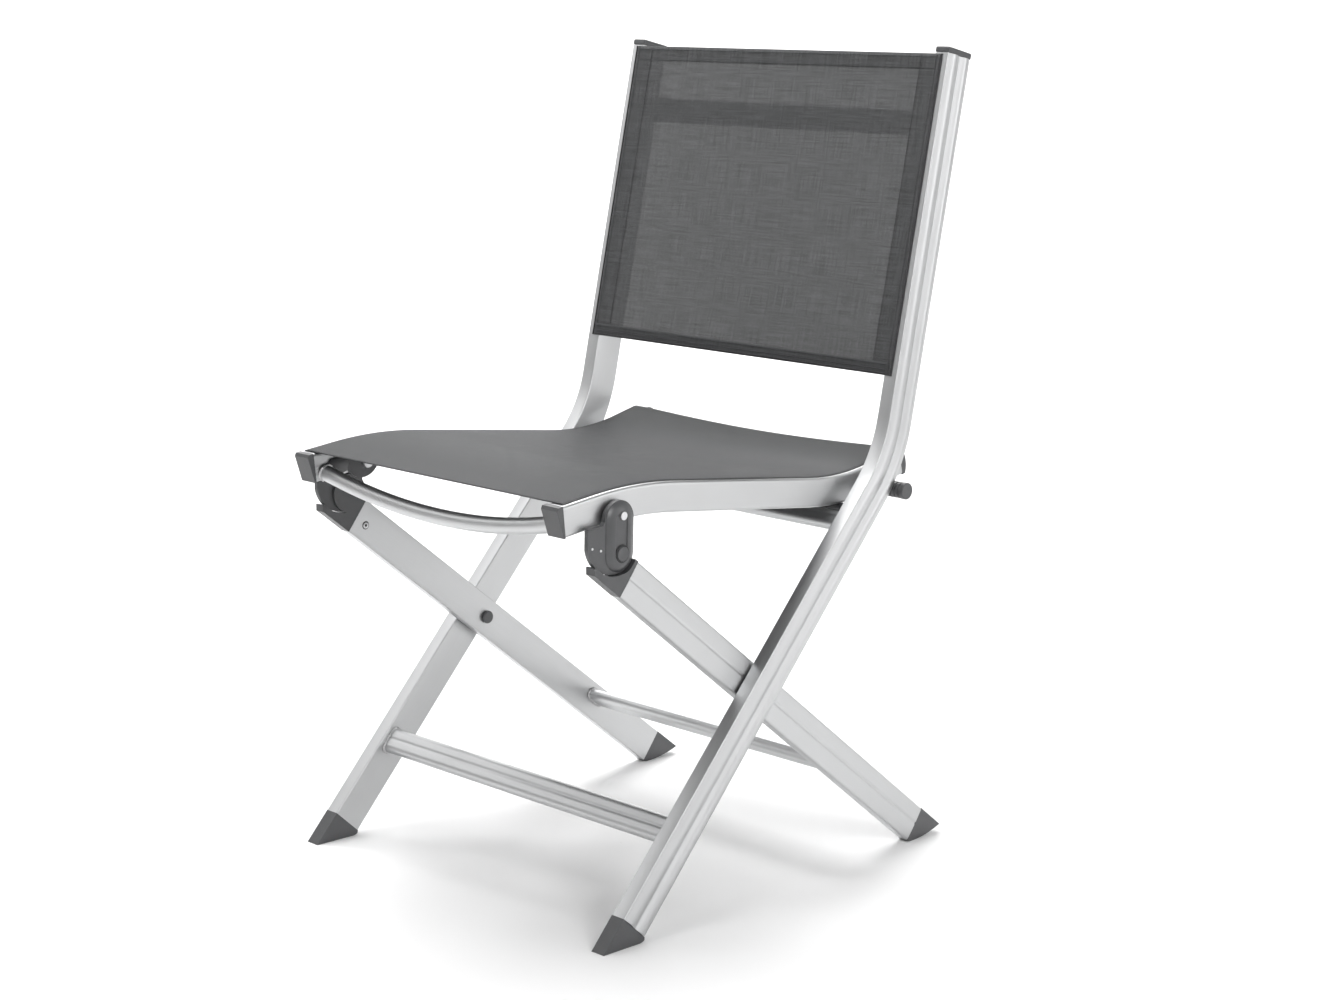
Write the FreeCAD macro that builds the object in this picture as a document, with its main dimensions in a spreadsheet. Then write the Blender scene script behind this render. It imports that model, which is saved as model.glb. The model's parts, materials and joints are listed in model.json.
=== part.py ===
"""Folding garden chair: two bent aluminium uprights that run on into the front legs, a pair of straight
rear legs crossing inside them, and a seat that hinges on the rear legs' tops and hooks behind the uprights.

Millimetres, +Z up, +Y to the rear, +X to the right as seen from the front. Sizes are measured from the
tip of the front feet; each sub-part's Placement then moves the origin to the middle of the floor area.
Every sub-part is drawn side-on and padded across the chair.
"""

import FreeCAD, Part
import math
import os
import re
import Sketcher

SIZES = {
    # floor plan: the front feet's tips lie this far in front of the origin
    "centre_y": 259.6,
    # uprights: one extrusion each, bent once just above the seat
    "front_lean": 41.6,
    "back_lean": 11.0,
    "corner_y": 409.7,
    "corner_z": 461.3,
    "back_rise": 440.5,
    "bend_radius": 140.0,
    "upright_inner": 220.0,
    "upright_thick": 17.5,
    "upright_depth": 40.0,
    "foot_rise": 42.0,
    "cap_thick": 7.0,
    "wall": 1.8,
    "channel_zone": 9.0,
    "channel_width": 3.0,
    "channel_deep": 6.0,
    # rear legs: straight extrusions that cross inside the uprights
    "pivot_y": 235.9,
    "pivot_z": 228.5,
    "leg_lean": -53.05,
    "leg_inner": 205.0,
    "leg_thick": 12.5,
    "leg_half": 20.5,
    "leg_up": 238.0,
    "leg_down": 349.0,
    "rear_foot_run": 43.0,
    "pivot_shaft": 4.0,
    "pivot_bore": 4.05,
    "spacer_radius": 18.0,
    # oval cross tubes
    "oval_wide": 30.0,
    "oval_thick": 14.0,
    "stretcher_y": 107.3,
    "stretcher_z": 100.9,
    "rest_bar_y": 383.0,
    "rest_bar_z": 388.5,
    "rear_bar_y": 417.5,
    "rear_bar_z": 99.3,
    "crossbar_y": 495.0,
    "crossbar_z": 811.0,
    # back sling
    "sling": 1.4,
    "sling_side": 228.2,
    "back_sling_low": 83.5,
    "back_sling_high": 432.0,
    # seat rails: two gentle bends, a crest at the front and a trough at the back
    "crest_y": 66.9,
    "crest_z": 465.1,
    "trough_y": 385.1,
    "trough_z": 433.4,
    "rail_front_lean": 82.5,
    "rail_mid_lean": 95.7,
    "rail_rear_lean": 75.5,
    "crest_radius": 500.0,
    "trough_radius": 292.0,
    "rail_front_run": 100.8,
    "rail_rear_run": 94.0,
    "rail_inner": 181.5,
    "rail_thick": 23.0,
    "rail_depth": 32.0,
    "seat_cap": 8.0,
    "seat_sling_side": 199.0,
    # seat hinge on the rear legs' tops
    "hinge_y": 36.8,
    "hinge_z": 436.4,
    "stadium_y": 34.9,
    "stadium_low": 398.5,
    "stadium_high": 432.0,
    "stadium_radius": 19.6,
    "button_y": 36.3,
    "tongue_face": 208.0,
    "bracket_face": 213.0,
    "cover_face": 217.0,
    # rod and ribbed rollers that hook behind the uprights
    "roller_y": 438.0,
    "roller_z": 418.6,
    "roller_radius": 8.8,
    "rod_radius": 4.0,
    "roller_end": 249.0,
    "bow_radius": 764.0,
    "bow_tube": 8.5,
    "bow_y": -12.0,
    "bow_low": 408.5,
    "bow_lean": 12.0,
}

SIDES = {"left": -1, "right": 1}
FLOOR = ("0", "0")
CORNER = ("corner_y", "corner_z")
PIVOT = ("pivot_y", "pivot_z")
HINGE = ("hinge_y", "hinge_z")
BUTTON = ("button_y", "stadium_low")
ROLLER = ("roller_y", "roller_z")

doc = FreeCAD.newDocument("FoldingChair")
sheet = doc.addObject("Spreadsheet::Sheet", "Sizes")
for row, (alias, value) in enumerate(SIZES.items(), start=1):
    sheet.set(f"A{row}", str(value))
    sheet.setAlias(f"A{row}", alias)
doc.recompute()

nodes = []


# ---- sizes, points and outlines ----------------------------------------------------------------------


def bound(formula):
    """A formula in sheet aliases, with the sheet's name put before each of them."""
    return re.sub(r"[a-z_]+", lambda word: f"Sizes.{word[0]}" if word[0] in SIZES else word[0], str(formula))


def number(formula):
    """The present value of a formula."""
    return float(sheet.evalExpression(bound(formula)))


def ahead(point, lean, run):
    """The point `run` further along a line that leans back from the vertical by `lean` degrees."""
    y, z = point
    return (f"({y} + ({run}) * sin({lean}))", f"({z} + ({run}) * cos({lean}))")


def behind(point, lean, depth):
    """The point `depth` to the rear of, or below, a line with that lean."""
    y, z = point
    return (f"({y} + ({depth}) * cos({lean}))", f"({z} - ({depth}) * sin({lean}))")


def on_leg(across, along):
    """A point in the rear leg's own directions: up-rearwards across it, and up-forwards along it."""
    return ahead(behind(PIVOT, "leg_lean", across), "leg_lean", along)


def straight(point):
    """The corner of an outline whose next edge is straight."""
    return (*point, None, 0)


def curved(point, radius, turn):
    """The corner of an outline whose next edge is an arc, turning left (1) or right (-1)."""
    return (*point, radius, turn)


def strip(points, leans, radii, near, far):
    """The outline of a strip between two depths behind a bent edge, whose bends are round."""
    front = [behind(points[0], leans[0], near)]
    rear = [behind(points[0], leans[0], far)]
    front_arcs = []
    rear_arcs = []
    for vertex, before, after, radius in zip(points[1:-1], leans, leans[1:], radii):
        turn = 1 if number(before) > number(after) else -1
        run = f"({radius}) * tan(({before} - ({after})) / 2) * {turn}"
        for lean, place in ((before, f"-({run})"), (after, run)):
            edge = ahead(vertex, lean, place)
            front.append(behind(edge, lean, near))
            rear.append(behind(edge, lean, far))
        front_arcs.append((f"{radius} + {turn} * ({near})", turn))
        rear_arcs.append((f"{radius} + {turn} * ({far})", -turn))
    front.append(behind(points[-1], leans[-1], near))
    rear.append(behind(points[-1], leans[-1], far))
    outline = []
    for i, point in enumerate(front):
        outline.append(curved(point, *front_arcs[i // 2]) if i % 2 and i < len(front) - 1 else straight(point))
    rear.reverse()
    rear_arcs.reverse()
    for i, point in enumerate(rear):
        outline.append(curved(point, *rear_arcs[i // 2]) if i % 2 and i < len(rear) - 1 else straight(point))
    return outline


def oval(centre, lean, wide, thick):
    """A flat oval whose long way runs along `lean`: two straight sides joined by quarter rounds."""
    flat = f"({wide} - ({thick})) / 2"
    half = f"({thick}) / 2"
    top = ahead(centre, lean, flat)
    low = ahead(centre, lean, f"-({flat})")
    return [
        straight(behind(low, lean, f"-({half})")),
        curved(behind(top, lean, f"-({half})"), half, -1),
        curved(ahead(top, lean, half), half, -1),
        straight(behind(top, lean, half)),
        curved(behind(low, lean, half), half, -1),
        curved(ahead(low, lean, f"-({half})"), half, -1),
    ]


# ---- bodies and features -----------------------------------------------------------------------------


def new_body(name):
    """A body named as its sub-part, moved so that the chair's floor middle is the origin."""
    body = doc.addObject("PartDesign::Body", name)
    body.Label = name
    body.setExpression("Placement.Base.y", bound("-centre_y"))
    nodes.append(body)
    return body


def side_sketch(body, start):
    """A sketch on the body's side plane, `start` to the right of the chair's middle."""
    plane = next(p for p in body.Origin.OriginFeatures if p.Role == "YZ_Plane")
    sketch = body.newObject("Sketcher::SketchObject", f"{body.Label}_outline")
    sketch.AttachmentSupport = [(plane, "")]
    sketch.MapMode = "FlatFace"
    sketch.setExpression("AttachmentOffset.Base.z", bound(start))
    return sketch


def arc_between(start, end, radius, turn):
    """The arc from start to end that turns left (1) or right (-1) with this radius, and its end order."""
    first, last = (start, end) if turn > 0 else (end, start)
    chord = last - first
    reach = math.sqrt(max(radius**2 - chord.Length**2 / 4, 0.0))
    inward = FreeCAD.Vector(-chord.y, chord.x, 0)
    inward.normalize()
    centre = (first + last) * 0.5 + inward * reach
    angles = [math.atan2(p.y - centre.y, p.x - centre.x) for p in (first, last)]
    circle = Part.Circle(centre, FreeCAD.Vector(0, 0, 1), radius)
    return Part.ArcOfCircle(circle, angles[0], angles[1])


def draw(sketch, outline):
    """Draws a closed outline whose corners and radii are all bound to the sheet."""
    corners = [FreeCAD.Vector(number(y), number(z), 0) for y, z, radius, turn in outline]
    count = len(outline)
    ends = []
    for i, (y, z, radius, turn) in enumerate(outline):
        start, end = corners[i], corners[(i + 1) % count]
        if radius is None:
            edge = sketch.addGeometry(Part.LineSegment(start, end), False)
            ends.append((edge, 1, 2))
        else:
            edge = sketch.addGeometry(arc_between(start, end, number(radius), turn), False)
            ends.append((edge, 1, 2) if turn > 0 else (edge, 2, 1))
    for i, (y, z, radius, turn) in enumerate(outline):
        edge, first, last = ends[i]
        follower = ends[(i + 1) % count]
        sketch.addConstraint(Sketcher.Constraint("Coincident", edge, last, follower[0], follower[1]))
        for kind, formula, value in (("DistanceX", y, corners[i].x), ("DistanceY", z, corners[i].y)):
            name = f"{kind}_{i}"
            place = sketch.addConstraint(Sketcher.Constraint(kind, -1, 1, edge, first, value))
            sketch.renameConstraint(place, name)
            sketch.setExpression(f"Constraints.{name}", bound(formula))
        if radius is not None:
            name = f"Radius_{i}"
            place = sketch.addConstraint(Sketcher.Constraint("Radius", edge, number(radius)))
            sketch.renameConstraint(place, name)
            sketch.setExpression(f"Constraints.{name}", bound(radius))


def draw_circle(sketch, centre, radius):
    """Draws a circle whose centre and radius are bound to the sheet."""
    y, z = (number(part) for part in centre)
    circle = Part.Circle(FreeCAD.Vector(y, z, 0), FreeCAD.Vector(0, 0, 1), number(radius))
    edge = sketch.addGeometry(circle, False)
    for kind, formula, value in (("DistanceX", centre[0], y), ("DistanceY", centre[1], z)):
        place = sketch.addConstraint(Sketcher.Constraint(kind, -1, 1, edge, 3, value))
        sketch.renameConstraint(place, kind)
        sketch.setExpression(f"Constraints.{kind}", bound(formula))
    place = sketch.addConstraint(Sketcher.Constraint("Radius", edge, number(radius)))
    sketch.renameConstraint(place, "Radius")
    sketch.setExpression("Constraints.Radius", bound(radius))


def across(side, inner, outer):
    """Where a slice between two distances from the chair's middle starts on this side, and its width."""
    return (inner if side > 0 else f"-({outer})"), f"({outer}) - ({inner})"


def feature(body, kind, start, length, outline=None, circle=None):
    """A pad or pocket of an outline or a circle, from `start` to the right by `length`."""
    sketch = side_sketch(body, start)
    if outline:
        draw(sketch, outline)
    else:
        draw_circle(sketch, *circle)
    result = body.newObject(f"PartDesign::{kind}", f"{body.Label}_{kind.lower()}")
    result.Profile = sketch
    result.setExpression("Length", bound(length))
    before = body.Shape.Volume if body.Shape and not body.Shape.isNull() else 0.0
    if kind == "Pocket":
        result.Reversed = True
    doc.recompute()
    if kind == "Pocket" and not body.Shape.Volume < before - 1e-3:
        raise ValueError(f"a pocket in {body.Label} removes nothing")
    return result


def pad(body, start, length, outline=None, circle=None):
    """Adds material."""
    return feature(body, "Pad", start, length, outline, circle)


def pocket(body, start, length, outline=None, circle=None):
    """Removes material."""
    return feature(body, "Pocket", start, length, outline, circle)


def round_edges(body, base, radius, is_chosen):
    """Rounds the edges of the last feature that `is_chosen` picks."""
    names = [f"Edge{i}" for i, edge in enumerate(base.Shape.Edges, start=1) if is_chosen(edge)]
    fillet = body.newObject("PartDesign::Fillet", f"{body.Label}_fillet")
    fillet.Base = (base, names)
    fillet.Radius = radius
    doc.recompute()


def is_long_at(x, shortest):
    """A test for edges longer than `shortest` that lie in the side plane at x."""

    def test(edge):
        flat = all(abs(vertex.X - x) < 0.01 for vertex in edge.Vertexes)
        return flat and edge.Length > shortest

    return test


# ---- uprights, caps and front feet -------------------------------------------------------------------

UPRIGHT_LEANS = ("front_lean", "back_lean")


def upright_edge(low, high):
    """The upright's front edge, from `low` above the floor tip to `high` above the bend's corner."""
    return [ahead(FLOOR, "front_lean", low), CORNER, ahead(CORNER, "back_lean", high)]


def make_upright(label, side):
    """A hollow bent extrusion with a channel for the sling's cord down its front face."""
    outer_face = "upright_inner + upright_thick"
    start, width = across(side, "upright_inner", outer_face)
    body = new_body(f"upright_{label}")
    edge = upright_edge("foot_rise", "back_rise - cap_thick")
    outline = strip(edge, UPRIGHT_LEANS, ["bend_radius"], "0", "upright_depth")
    base = pad(body, start, width, outline)
    face = side * number(outer_face)
    round_edges(body, base, 3.0, is_long_at(face, 45.0))
    start, width = across(side, "upright_inner + wall", "upright_inner + upright_thick - 2 * wall")
    edge = upright_edge("foot_rise - 1", "back_rise - cap_thick + 1")
    hollow = strip(edge, UPRIGHT_LEANS, ["bend_radius"], "channel_zone", "upright_depth - wall")
    pocket(body, start, width, hollow)
    start, width = across(side, "sling_side - channel_width / 2", "sling_side + channel_width / 2")
    low, high = ahead(CORNER, "back_lean", "45"), ahead(CORNER, "back_lean", "back_rise - cap_thick + 1")
    pocket(body, start, width, strip([low, high], ["back_lean"], [], "-1", "channel_deep"))
    start, width = across(side, "upright_inner - 1", "upright_inner + wall + 1")
    pocket(body, start, width, circle=(PIVOT, "pivot_shaft"))


def make_top_cap(label, side):
    """A plastic plug: a flange as large as the tube, slightly proud, and a stem inside it."""
    body = new_body(f"top_cap_{label}")
    start, width = across(side, "upright_inner", "upright_inner + upright_thick")
    low = ahead(CORNER, "back_lean", "back_rise - cap_thick")
    high = ahead(CORNER, "back_lean", "back_rise")
    base = pad(body, start, width, strip([low, high], ["back_lean"], [], "0", "upright_depth"))
    top = number(high[1])
    round_edges(body, base, 2.0, lambda edge: edge.BoundBox.ZMax > top - 9 and edge.Length > 15)
    stem_face = "upright_inner + upright_thick - 2 * wall - 0.2"
    start, width = across(side, "upright_inner + wall + 0.2", stem_face)
    inside = ahead(CORNER, "back_lean", "back_rise - cap_thick - 20")
    stem = strip([inside, low], ["back_lean"], [], "channel_zone + 0.2", "upright_depth - wall - 0.2")
    pad(body, start, width, stem)


def make_front_foot(label, side):
    """A plastic wedge that carries the square-cut tube down to a level sole, with a stem inside the tube."""
    body = new_body(f"front_foot_{label}")
    start, width = across(side, "upright_inner", "upright_inner + upright_thick")
    front = ahead(FLOOR, "front_lean", "foot_rise")
    rear = behind(front, "front_lean", "upright_depth")
    outline = [
        straight(FLOOR),
        straight(front),
        straight(rear),
        curved((f"{rear[0]} - 0.5", "2.0"), "12", -1),
        straight((f"{rear[0]} - 7", "0")),
    ]
    pad(body, start, width, outline)
    stem_face = "upright_inner + upright_thick - 2 * wall - 0.2"
    start, width = across(side, "upright_inner + wall + 0.2", stem_face)
    edge = [front, ahead(FLOOR, "front_lean", "foot_rise + 22")]
    stem = strip(edge, ["front_lean"], [], "channel_zone + 0.2", "upright_depth - wall - 0.2")
    pad(body, start, width, stem)


# ---- cross tubes and what sits on them ---------------------------------------------------------------


def make_cross_tube(name, centre, lean, half_span):
    """A hollow oval tube welded between two legs."""
    body = new_body(name)
    start, length = f"-({half_span})", f"2 * ({half_span})"
    pad(body, start, length, oval(centre, lean, "oval_wide", "oval_thick"))
    bore = oval(centre, lean, "oval_wide - 2 * wall", "oval_thick - 2 * wall")
    pocket(body, f"{start} - 1", f"{length} + 2", bore)


def make_rest_pad(label, side):
    """A plastic saddle on the rest bar's top, where the seat rail comes down."""
    body = new_body(f"rest_pad_{label}")
    start, width = across(side, "rail_inner - 25", "upright_inner - 2")
    centre = ("rest_bar_y", "rest_bar_z")
    top = ahead(centre, "front_lean", "oval_wide / 2 - oval_thick / 2")
    pad(body, start, width, circle=(top, "oval_thick / 2 + 3.3"))
    pocket(body, f"{start} - 1", f"{width} + 2", oval(centre, "front_lean", "oval_wide", "oval_thick"))
    low = ahead(centre, "front_lean", "-oval_wide")
    high = ahead(centre, "front_lean", "oval_wide / 2 - oval_thick / 2 - 3")
    cut = strip([low, high], ["front_lean"], [], "-oval_thick", "oval_thick")
    pocket(body, f"{start} - 1", f"{width} + 2", cut)


# ---- back sling --------------------------------------------------------------------------------------


def make_back_sling():
    """The mesh across the uprights' front faces, its edges turned into their channels."""
    body = new_body("back_sling")
    low, high = ahead(CORNER, "back_lean", "back_sling_low"), ahead(CORNER, "back_lean", "back_sling_high")
    face = strip([low, high], ["back_lean"], [], "-sling - 0.1", "-0.1")
    pad(body, "-sling_side - sling / 2", "2 * sling_side + sling", face)
    turned = strip([low, high], ["back_lean"], [], "-0.2", "channel_deep - 2.5")
    for side in SIDES.values():
        start, width = across(side, "sling_side - sling / 2", "sling_side + sling / 2")
        pad(body, start, width, turned)


def make_back_cord(label, side):
    """The plastic cord in the turned edge, which keeps it in the channel."""
    body = new_body(f"back_cord_{label}")
    start, width = across(side, "sling_side - 1.4", "sling_side + 1.4")
    low, high = ahead(CORNER, "back_lean", "back_sling_low"), ahead(CORNER, "back_lean", "back_sling_high")
    pad(body, start, width, strip([low, high], ["back_lean"], [], "channel_deep - 2.4", "channel_deep"))


# ---- crossing pivot ----------------------------------------------------------------------------------


def make_pivot(label, side):
    """A bolt fixed in the upright's inner wall, on which the rear leg turns, with a spacer and a cap."""
    spacer = new_body(f"pivot_spacer_{label}")
    start, width = across(side, "leg_inner + leg_thick + 0.1", "upright_inner")
    pad(spacer, start, width, circle=(PIVOT, "spacer_radius"))
    pocket(spacer, f"{start} - 1", f"{width} + 2", circle=(PIVOT, "pivot_shaft"))
    bolt = new_body(f"pivot_bolt_{label}")
    start, width = across(side, "leg_inner - 2.5", "upright_inner + wall + 1.5")
    pad(bolt, start, width, circle=(PIVOT, "pivot_shaft"))
    start, width = across(side, "leg_inner - 2.5", "leg_inner - 0.3")
    pad(bolt, start, width, circle=(PIVOT, "6"))
    cap = new_body(f"pivot_cap_{label}")
    start, width = across(side, "leg_inner - 4.5", "leg_inner - 0.4")
    base = pad(cap, start, width, circle=(PIVOT, "7.5"))
    face = side * number("leg_inner - 4.5")
    round_edges(cap, base, 1.4, lambda edge: all(abs(v.X - face) < 0.01 for v in edge.Vertexes))
    start, width = across(side, "leg_inner - 2.5", "leg_inner")
    pocket(cap, start, width, circle=(PIVOT, "6.02"))


# ---- rear legs ---------------------------------------------------------------------------------------


def leg_strip(low, high, near, far):
    """A strip along the rear leg; depths run across it from its lower edge."""
    edge = [on_leg("-leg_half", low), on_leg("-leg_half", high)]
    return strip(edge, ["leg_lean"], [], near, far)


def make_rear_leg(label, side):
    """A straight hollow extrusion with a bore for the crossing pivot."""
    outer_face = "leg_inner + leg_thick"
    body = new_body(f"rear_leg_{label}")
    start, width = across(side, "leg_inner", outer_face)
    base = pad(body, start, width, leg_strip("-leg_down", "leg_up", "0", "2 * leg_half"))
    round_edges(body, base, 2.5, is_long_at(side * number(outer_face), 45.0))
    start, width = across(side, "leg_inner + wall", "leg_inner + leg_thick - wall")
    pocket(body, start, width, leg_strip("-leg_down - 1", "leg_up + 1", "wall", "2 * leg_half - wall"))
    start, width = across(side, "leg_inner - 1", "leg_inner + leg_thick + 1")
    pocket(body, start, width, circle=(PIVOT, "pivot_bore"))


def make_rear_foot(label, side):
    """A plastic wedge with a rolled sole and a stem inside the leg."""
    body = new_body(f"rear_foot_{label}")
    start, width = across(side, "leg_inner", "leg_inner + leg_thick")
    outline = [
        straight(on_leg("-leg_half", "-leg_down")),
        straight(on_leg("leg_half", "-leg_down")),
        curved(on_leg("leg_half", "-leg_down - rear_foot_run"), "158", -1),
        curved(("508", "0"), "8", -1),
    ]
    pad(body, start, width, outline)
    start, width = across(side, "leg_inner + wall + 0.2", "leg_inner + leg_thick - wall - 0.2")
    stem = leg_strip("-leg_down", "-leg_down + 22", "wall + 0.2", "2 * leg_half - wall - 0.2")
    pad(body, start, width, stem)


def make_leg_plug(label, side):
    """The plastic end of a rear leg: a lip and an ear around the hinge bracket, a tongue under it, a stem."""
    body = new_body(f"leg_plug_{label}")
    start, width = across(side, "leg_inner + 0.2", "leg_inner + leg_thick")
    gap = "0.8"
    outline = [
        straight(on_leg("-leg_half", "leg_up")),
        straight(on_leg("-leg_half", "leg_up + 41")),
        straight(("-1.8", "381.5")),
        straight(("-2.0", "389.0")),
        curved(("0.8", "388.95"), f"36.06 + {gap}", 1),
        curved(("stadium_y", f"stadium_low - stadium_radius - {gap}"), f"stadium_radius + {gap}", 1),
        straight(on_leg("leg_half", "leg_up + 5.2")),
        straight(on_leg("leg_half", "leg_up")),
    ]
    pad(body, start, width, outline)
    start, width = across(side, "leg_inner + 0.2", "tongue_face")
    pad(body, start, width, circle=(("stadium_y", "stadium_low"), "stadium_radius + 2"))
    start, width = across(side, "leg_inner + wall + 0.2", "leg_inner + leg_thick - wall - 0.2")
    pad(body, start, width, leg_strip("leg_up - 30", "leg_up", "wall + 0.2", "2 * leg_half - wall - 0.2"))
    start, width = across(side, "leg_inner - 1", "tongue_face + 1")
    pocket(body, start, width, circle=(BUTTON, "pivot_shaft"))


def bracket_outline():
    """A tall stadium with a lobe at its lower front."""
    left, right = "stadium_y - stadium_radius", "stadium_y + stadium_radius"
    return [
        straight((right, "stadium_low")),
        curved((right, "stadium_high"), "stadium_radius", 1),
        curved(("stadium_y", "stadium_high + stadium_radius"), "stadium_radius", 1),
        straight((left, "stadium_high")),
        straight((f"{left} - 4.5", "stadium_high - 6")),
        straight(("-7.5", "stadium_high - 6.2")),
        curved(("-7.5", "stadium_low + 8"), "36", 1),
        curved(("stadium_y", "stadium_low - stadium_radius"), "stadium_radius", 1),
    ]


def stadium(radius):
    """The stadium between the bracket's two screw places."""
    left, right = f"stadium_y - ({radius})", f"stadium_y + ({radius})"
    return [
        straight((right, "stadium_low")),
        curved((right, "stadium_high"), radius, 1),
        curved(("stadium_y", f"stadium_high + {radius}"), radius, 1),
        straight((left, "stadium_high")),
        curved((left, "stadium_low"), radius, 1),
        curved(("stadium_y", f"stadium_low - ({radius})"), radius, 1),
    ]


def make_hinge(label, side):
    """The bracket on the leg's plug, its cover, the button-headed bolt between them, and the hinge pin."""
    bracket = new_body(f"hinge_bracket_{label}")
    start, width = across(side, "tongue_face", "bracket_face")
    pad(bracket, start, width, bracket_outline())
    start, width = across(side, "leg_inner - 0.1", "tongue_face")
    pad(bracket, start, width, circle=(HINGE, "9"))
    start, width = across(side, "leg_inner - 1", "bracket_face + 1")
    pocket(bracket, start, width, circle=(HINGE, "pivot_shaft"))
    pocket(bracket, start, width, circle=(BUTTON, "pivot_shaft"))

    cover = new_body(f"hinge_cover_{label}")
    start, width = across(side, "bracket_face", "cover_face")
    base = pad(cover, start, width, stadium("stadium_radius - 1"))
    face = side * number("cover_face")
    round_edges(cover, base, 2.5, lambda edge: all(abs(v.X - face) < 0.01 for v in edge.Vertexes))
    start, width = across(side, "cover_face - 1.5", "cover_face + 1")
    pocket(cover, start, width, stadium("8"))
    start, width = across(side, "bracket_face - 1", "cover_face + 1")
    pocket(cover, start, width, circle=(HINGE, "pivot_shaft"))
    pocket(cover, start, width, circle=(BUTTON, "pivot_shaft"))

    button = new_body(f"bracket_bolt_{label}")
    start, width = across(side, "leg_inner + 0.5", "cover_face")
    pad(button, start, width, circle=(BUTTON, "pivot_shaft"))
    start, width = across(side, "cover_face - 1.5", "cover_face + 1.2")
    pad(button, start, width, circle=(BUTTON, "6.2"))

    pin = new_body(f"hinge_pin_{label}")
    start, width = across(side, "rail_inner - 6.5", "cover_face - 1.5")
    pad(pin, start, width, circle=(HINGE, "pivot_shaft"))
    start, width = across(side, "cover_face - 1.5", "cover_face + 0.8")
    pad(pin, start, width, circle=(HINGE, "4.2"))
    start, width = across(side, "rail_inner - 6.5", "rail_inner - 3.4")
    pad(pin, start, width, circle=(HINGE, "6"))

    rivet = new_body(f"plug_rivet_{label}")
    place = on_leg("-3", "leg_up - 16")
    start, width = across(side, "leg_inner - 0.9", "leg_inner")
    pad(rivet, start, width, circle=(place, "3"))


# ---- seat --------------------------------------------------------------------------------------------

RAIL_LEANS = ("rail_front_lean", "rail_mid_lean", "rail_rear_lean")
RAIL_RADII = ("crest_radius", "trough_radius")
CREST = ("crest_y", "crest_z")
TROUGH = ("trough_y", "trough_z")


def rail_strip(near, far, front="rail_front_run", rear="rail_rear_run"):
    """A strip between two depths under the rail's top edge."""
    first = ahead(CREST, "rail_front_lean", f"-({front})")
    last = ahead(TROUGH, "rail_rear_lean", rear)
    return strip([first, CREST, TROUGH, last], RAIL_LEANS, RAIL_RADII, near, far)


def make_rail(label, side):
    """A hollow curved extrusion with a channel along its top for the sling's cord."""
    outer_face = "rail_inner + rail_thick"
    body = new_body(f"seat_rail_{label}")
    start, width = across(side, "rail_inner", outer_face)
    base = pad(body, start, width, rail_strip("0", "rail_depth"))
    for face in ("rail_inner", outer_face):
        x = side * number(face)
        base = body.Tip
        round_edges(body, base, 2.2, is_long_at(x, 42.0))
    start, width = across(side, "rail_inner + wall", f"{outer_face} - wall")
    inside = rail_strip("channel_zone", "rail_depth - wall", "rail_front_run + 1", "rail_rear_run + 1")
    pocket(body, start, width, inside)
    start, width = across(side, "seat_sling_side - 2.5", "seat_sling_side - 2.5 + channel_width")
    channel = rail_strip("-1", "channel_deep", "rail_front_run + 1", "rail_rear_run + 1")
    pocket(body, start, width, channel)
    start, width = across(side, "rail_inner - 1", f"{outer_face} + 1")
    pocket(body, start, width, circle=(HINGE, "pivot_bore"))
    pocket(body, start, width, circle=(ROLLER, "rod_radius"))


def make_seat_caps(label, side):
    """Plastic plugs in the rail's two ends; the front one slants back towards its foot."""
    start, width = across(side, "rail_inner", "rail_inner + rail_thick")
    stem_start, stem_width = across(side, "rail_inner + wall + 0.2", "rail_inner + rail_thick - wall - 0.2")
    front = new_body(f"seat_front_cap_{label}")
    end = ahead(CREST, "rail_front_lean", "-rail_front_run")
    nose = ahead(end, "rail_front_lean", "-seat_cap")
    outline = [
        straight(end),
        straight(behind(end, "rail_front_lean", "rail_depth")),
        straight(behind(ahead(end, "rail_front_lean", "-2"), "rail_front_lean", "rail_depth")),
        straight(behind(nose, "rail_front_lean", "3")),
        straight(ahead(nose, "rail_front_lean", "2")),
    ]
    pad(front, start, width, outline)
    inside = ahead(end, "rail_front_lean", "20")
    stem = strip([end, inside], ["rail_front_lean"], [], "channel_zone + 0.6", "rail_depth - wall - 0.6")
    pad(front, stem_start, stem_width, stem)

    rear = new_body(f"seat_rear_cap_{label}")
    end = ahead(TROUGH, "rail_rear_lean", "rail_rear_run")
    tail = ahead(end, "rail_rear_lean", "seat_cap")
    outline = [
        straight(behind(end, "rail_rear_lean", "1")),
        straight(behind(ahead(tail, "rail_rear_lean", "-4"), "rail_rear_lean", "3.5")),
        curved(behind(ahead(tail, "rail_rear_lean", "-1"), "rail_rear_lean", "8"), "30", -1),
        straight(behind(ahead(tail, "rail_rear_lean", "-3"), "rail_rear_lean", "rail_depth")),
        straight(behind(end, "rail_rear_lean", "rail_depth")),
    ]
    pad(rear, start, width, outline)
    inside = ahead(end, "rail_rear_lean", "-20")
    stem = strip([inside, end], ["rail_rear_lean"], [], "channel_zone + 0.4", "rail_depth - wall - 0.4")
    pad(rear, stem_start, stem_width, stem)


def make_seat_sling():
    """The mesh from rail to rail, its edges turned down into their channels."""
    body = new_body("seat_sling")
    front, rear = "rail_front_run - 1", "rail_rear_run - 6"
    face = rail_strip("-sling - 0.1", "-0.1", front, rear)
    pad(body, "-seat_sling_side", "2 * seat_sling_side", face)
    turned = rail_strip("-0.2", "channel_deep - 2.5", front, rear)
    for side in SIDES.values():
        start, width = across(side, "seat_sling_side - sling - 0.2", "seat_sling_side - 0.2")
        pad(body, start, width, turned)


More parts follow.
